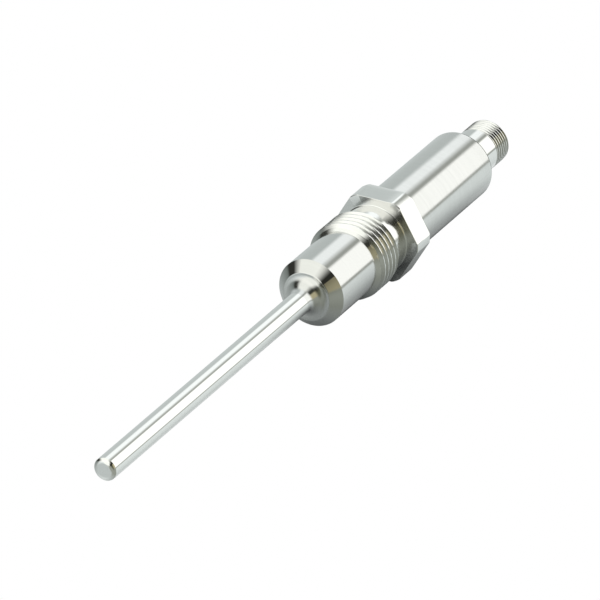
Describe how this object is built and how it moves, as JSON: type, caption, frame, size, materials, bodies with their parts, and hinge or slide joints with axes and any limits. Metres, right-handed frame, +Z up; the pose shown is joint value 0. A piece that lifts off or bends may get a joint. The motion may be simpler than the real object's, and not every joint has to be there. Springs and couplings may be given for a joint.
{
  "type": "temperature transmitter",
  "caption": "Slim stainless screw-in temperature transmitter: closed probe, coned sealing nose with pipe thread and hexagon, sleeve housing and M12 plug connector.",
  "frame": {"origin": "on the axis, where the process thread reaches its full diameter behind the smooth nose", "axes": "+X along the axis towards the connector, probe tip towards -X, +Z up, lying on a flat of the hexagon"},
  "size_m": [0.1984, 0.0243, 0.022],
  "materials": {
    "polished_stainless": "drawn tube, polished",
    "turned_stainless": "turned bright",
    "satin_stainless": "fine turned, satin",
    "bright_stainless": "turned bright",
    "black_polyamide": "moulded, fine matt",
    "gilded_brass": "gold plated",
    "board_laminate": "glass laminate with green lacquer",
    "chip_moulding": "moulded epoxy",
    "alumina": "fired, unglazed",
    "capacitor_ceramic": "fired, fine grained",
    "natural_polyester": "moulded",
    "seal_rubber": "moulded, satin",
    "heat_paste": "set compound",
    "potting_resin": "cast",
    "lead_sleeving": "extruded"
  },
  "bodies": {
    "root": {"probe_sheath": "polished_stainless", "process_connection": "turned_stainless", "housing_sleeve": "satin_stainless", "connector_shell": "bright_stainless", "contact_carrier": "black_polyamide", "contact_pin_1": "gilded_brass", "contact_pin_2": "gilded_brass", "contact_pin_3": "gilded_brass", "contact_pin_4": "gilded_brass", "contact_board": "board_laminate", "circuit_board": "board_laminate", "measuring_chip": "chip_moulding", "output_chip": "chip_moulding", "surge_diode": "chip_moulding", "reference_resistor": "alumina", "buffer_capacitor_1": "capacitor_ceramic", "buffer_capacitor_2": "capacitor_ceramic", "board_holder": "natural_polyester", "housing_o_ring": "seal_rubber", "connector_o_ring": "seal_rubber", "sensing_element": "alumina", "thermal_compound": "heat_paste", "insulating_tube": "alumina", "potting_plug": "potting_resin", "element_lead_1": "lead_sleeving", "element_lead_2": "lead_sleeving"}
  },
  "joints": []
}
